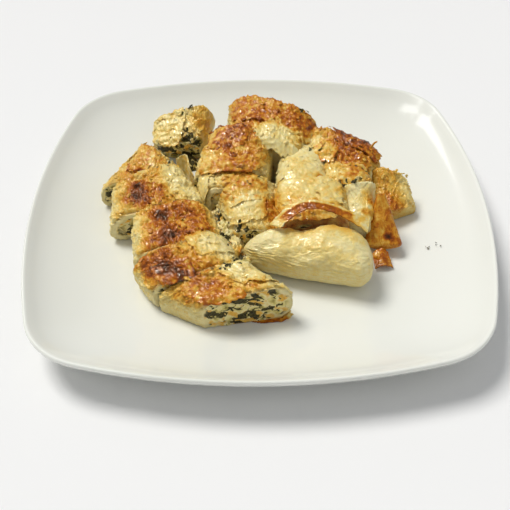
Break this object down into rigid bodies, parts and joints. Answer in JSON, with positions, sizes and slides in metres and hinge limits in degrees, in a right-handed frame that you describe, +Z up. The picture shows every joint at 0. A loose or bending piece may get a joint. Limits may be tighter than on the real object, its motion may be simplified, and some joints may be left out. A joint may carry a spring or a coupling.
{
  "type": "plated filo pie serving",
  "caption": "Serving of rolled spinach and cheese filo pie, cut in chunks and heaped on a white rounded square plate with a shallow well.",
  "frame": {"origin": "on the table, below the centre of the plate", "axes": "+Z up; -Y towards the viewer, the side where the front slice shows its cut face; +X to the viewer's right"},
  "size_m": [0.26, 0.26, 0.0478],
  "materials": {
    "glazed_ceramic": "white, glossy glaze",
    "baked_filo": "baked, oiled and flaky",
    "pale_filo": "pale, thin baked leaves",
    "spinach_filling": "moist, with cheese and leaf bits"
  },
  "bodies": {
    "root": {"plate": "glazed_ceramic", "chunk_back": "baked_filo", "chunk_back_left": "baked_filo", "chunk_back_right": "baked_filo", "chunk_front": "baked_filo", "chunk_front_left": "baked_filo", "chunk_left_low": "baked_filo", "chunk_left_top": "baked_filo", "chunk_middle": "baked_filo", "chunk_middle_right": "baked_filo", "chunk_right": "baked_filo", "crust_wedge": "baked_filo", "leaf_crisp": "baked_filo", "slice_1": "baked_filo", "slice_2": "baked_filo", "slice_3": "baked_filo", "slice_4": "baked_filo", "slice_5": "baked_filo", "slice_6": "baked_filo", "front_roll": "pale_filo", "pale_wedge": "pale_filo", "pale_strip": "pale_filo", "leaf_arched": "pale_filo", "leaf_curled": "pale_filo", "slice_1_filling": "spinach_filling", "slice_2_filling": "spinach_filling", "slice_3_filling": "spinach_filling", "slice_4_filling": "spinach_filling", "slice_5_filling": "spinach_filling", "slice_6_filling": "spinach_filling", "chunk_back_right_filling": "spinach_filling", "chunk_front_left_filling": "spinach_filling", "chunk_left_low_filling": "spinach_filling"}
  },
  "joints": []
}
